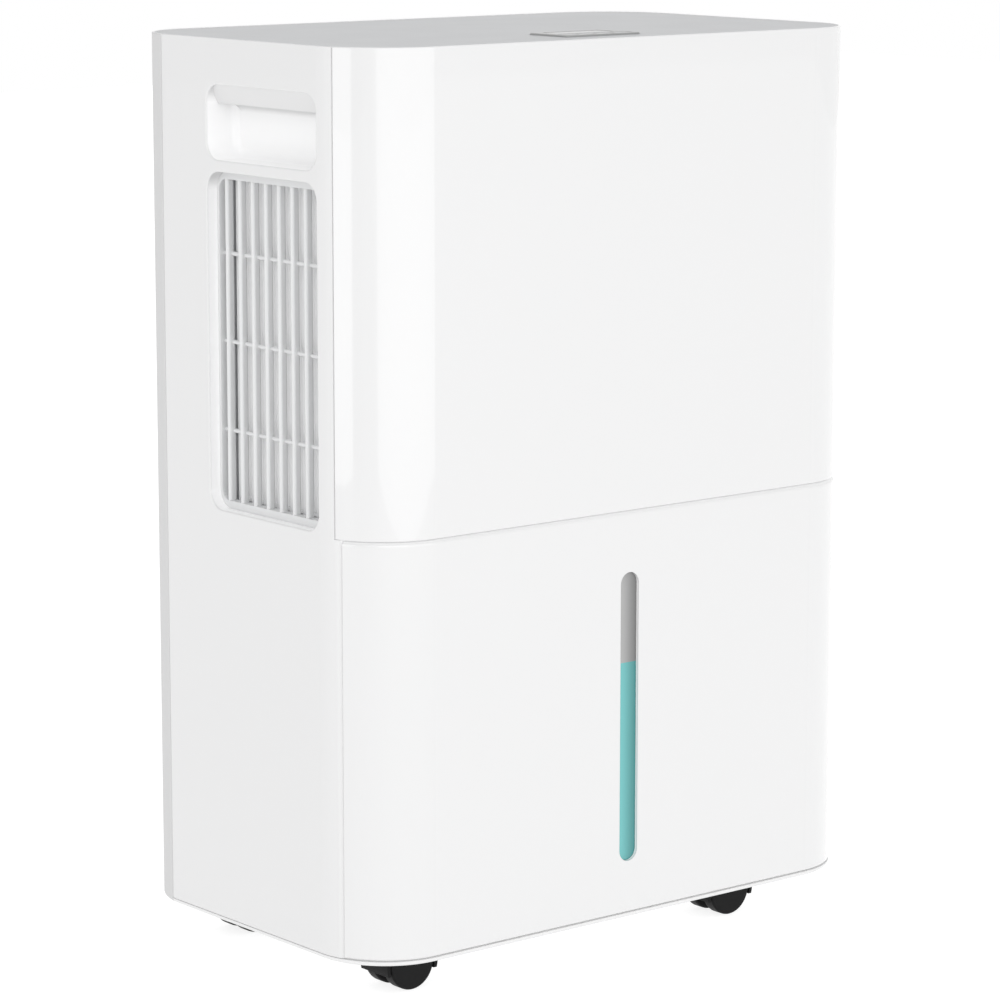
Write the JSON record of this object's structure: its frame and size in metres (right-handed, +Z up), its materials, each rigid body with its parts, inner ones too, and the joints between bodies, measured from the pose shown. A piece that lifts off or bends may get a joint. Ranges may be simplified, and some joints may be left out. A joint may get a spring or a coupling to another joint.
{
  "type": "dehumidifier",
  "caption": "Upright compressor dehumidifier with a draw-out water tank, level window, side handles, side outlet grille, top controls and swivel casters.",
  "frame": {"origin": "on the floor under the middle of the housing", "axes": "+X to the right seen from the front, +Y to the back, +Z up; the tank draws out along -Y"},
  "size_m": [0.37, 0.23, 0.5273],
  "materials": {
    "white_shell": "satin gloss",
    "base_plastic": "matt",
    "grey_top": "satin",
    "grey_pad": "satin",
    "key_plastic": "satin",
    "display_glass": "polished",
    "circuit_board": "solder mask",
    "bucket_plastic": "matt",
    "bail_plastic": "matt",
    "foam_float": "foam",
    "magnet_steel": "ground",
    "window_plastic": "polished",
    "water_tint": "clear tint",
    "inner_plastic": "matt",
    "black_plastic": "matt",
    "filter_plastic": "matt",
    "filter_net": "woven net",
    "hose_plastic": "matt",
    "plug_rubber": "matt",
    "screw_steel": "zinc plated",
    "fin_aluminium": "mill",
    "copper_pipe": "drawn copper",
    "compressor_paint": "black paint",
    "foot_rubber": "matt",
    "shaft_steel": "ground",
    "motor_steel": "zinc plated",
    "caster_black": "fine grain",
    "axle_steel": "ground",
    "wheel_black": "satin"
  },
  "bodies": {
    "housing": {"front_cover": "white_shell", "left_side_panel": "white_shell", "right_side_panel": "white_shell", "rear_cover": "white_shell", "side_grille": "white_shell", "outlet_vanes": "white_shell", "base_tray": "base_plastic", "top_cover": "grey_top", "control_pad": "grey_pad", "display_window": "display_glass", "display_board": "circuit_board", "partition_wall": "inner_plastic", "drip_deck": "inner_plastic", "scroll_housing": "inner_plastic", "level_switch": "black_plastic", "terminal_cover": "black_plastic", "control_box": "black_plastic", "cord_gland": "black_plastic", "drain_spigot": "hose_plastic", "cover_screws": "screw_steel", "condenser": "fin_aluminium", "evaporator": "fin_aluminium", "refrigerant_lines": "copper_pipe", "compressor": "compressor_paint", "accumulator": "compressor_paint", "compressor_feet": "foot_rubber", "fan_motor": "motor_steel"},
    "tank": {"tank_front": "white_shell", "tank_bucket": "bucket_plastic", "tank_lid": "bucket_plastic", "level_window": "window_plastic", "water_column": "water_tint"},
    "tank_handle": {"tank_handle": "bail_plastic"},
    "tank_float": {"tank_float": "foam_float", "float_magnet": "magnet_steel"},
    "air_filter": {"filter_frame": "filter_plastic", "filter_mesh": "filter_net"},
    "drain_plug": {"drain_plug": "plug_rubber"},
    "fan": {"fan_wheel": "black_plastic", "fan_shaft": "shaft_steel"},
    "power_button": {"power_button": "key_plastic"},
    "mode_button": {"mode_button": "key_plastic"},
    "humidity_button": {"humidity_button": "key_plastic"},
    "timer_button": {"timer_button": "key_plastic"},
    "caster_front_left": {"caster_front_left_body": "caster_black"},
    "wheels_front_left": {"caster_front_left_axle": "axle_steel", "caster_front_left_wheels": "wheel_black"},
    "caster_front_right": {"caster_front_right_body": "caster_black"},
    "wheels_front_right": {"caster_front_right_axle": "axle_steel", "caster_front_right_wheels": "wheel_black"},
    "caster_rear_left": {"caster_rear_left_body": "caster_black"},
    "wheels_rear_left": {"caster_rear_left_axle": "axle_steel", "caster_rear_left_wheels": "wheel_black"},
    "caster_rear_right": {"caster_rear_right_body": "caster_black"},
    "wheels_rear_right": {"caster_rear_right_axle": "axle_steel", "caster_rear_right_wheels": "wheel_black"}
  },
  "joints": [
    {"name": "tank_slide", "type": "slide", "parent": "housing", "child": "tank", "axis": [0, -1, 0], "range_m": [0, 0.24]},
    {"name": "tank_handle_pivot", "type": "hinge", "parent": "tank", "child": "tank_handle", "pos_m": [0, -0.08, 0.241], "axis": [1, 0, 0], "range_deg": [0, 90]},
    {"name": "float_pivot", "type": "hinge", "parent": "tank", "child": "tank_float", "pos_m": [0.11, -0.036, 0.224], "axis": [-1, 0, 0], "range_deg": [0, 8]},
    {"name": "filter_pull", "type": "slide", "parent": "housing", "child": "air_filter", "axis": [0, 1, 0], "range_m": [0, 0.04]},
    {"name": "drain_plug_pull", "type": "slide", "parent": "housing", "child": "drain_plug", "axis": [0, 1, 0], "range_m": [0, 0.025]},
    {"name": "fan_spin", "type": "hinge", "parent": "housing", "child": "fan", "pos_m": [0.02, 0, 0.392], "axis": [0, 1, 0], "continuous": true},
    {"name": "power_press", "type": "slide", "parent": "housing", "child": "power_button", "axis": [0, 0, -1], "range_m": [0, 0.0007], "stiffness_N_per_m": 300},
    {"name": "mode_press", "type": "slide", "parent": "housing", "child": "mode_button", "axis": [0, 0, -1], "range_m": [0, 0.0007], "stiffness_N_per_m": 300},
    {"name": "humidity_press", "type": "slide", "parent": "housing", "child": "humidity_button", "axis": [0, 0, -1], "range_m": [0, 0.0007], "stiffness_N_per_m": 300},
    {"name": "timer_press", "type": "slide", "parent": "housing", "child": "timer_button", "axis": [0, 0, -1], "range_m": [0, 0.0007], "stiffness_N_per_m": 300},
    {"name": "swivel_front_left", "type": "hinge", "parent": "housing", "child": "caster_front_left", "pos_m": [-0.1202, -0.0735, 0.03], "axis": [0, 0, 1], "continuous": true},
    {"name": "roll_front_left", "type": "hinge", "parent": "caster_front_left", "child": "wheels_front_left", "pos_m": [-0.1339, -0.0735, 0.015], "axis": [0, 1, 0], "continuous": true},
    {"name": "swivel_front_right", "type": "hinge", "parent": "housing", "child": "caster_front_right", "pos_m": [0.1202, -0.0735, 0.03], "axis": [0, 0, 1], "continuous": true},
    {"name": "roll_front_right", "type": "hinge", "parent": "caster_front_right", "child": "wheels_front_right", "pos_m": [0.1065, -0.0735, 0.015], "axis": [0, 1, 0], "continuous": true},
    {"name": "swivel_rear_left", "type": "hinge", "parent": "housing", "child": "caster_rear_left", "pos_m": [-0.1202, 0.0735, 0.03], "axis": [0, 0, 1], "continuous": true},
    {"name": "roll_rear_left", "type": "hinge", "parent": "caster_rear_left", "child": "wheels_rear_left", "pos_m": [-0.1339, 0.0735, 0.015], "axis": [0, 1, 0], "continuous": true},
    {"name": "swivel_rear_right", "type": "hinge", "parent": "housing", "child": "caster_rear_right", "pos_m": [0.1202, 0.0735, 0.03], "axis": [0, 0, 1], "continuous": true},
    {"name": "roll_rear_right", "type": "hinge", "parent": "caster_rear_right", "child": "wheels_rear_right", "pos_m": [0.1065, 0.0735, 0.015], "axis": [0, 1, 0], "continuous": true}
  ]
}
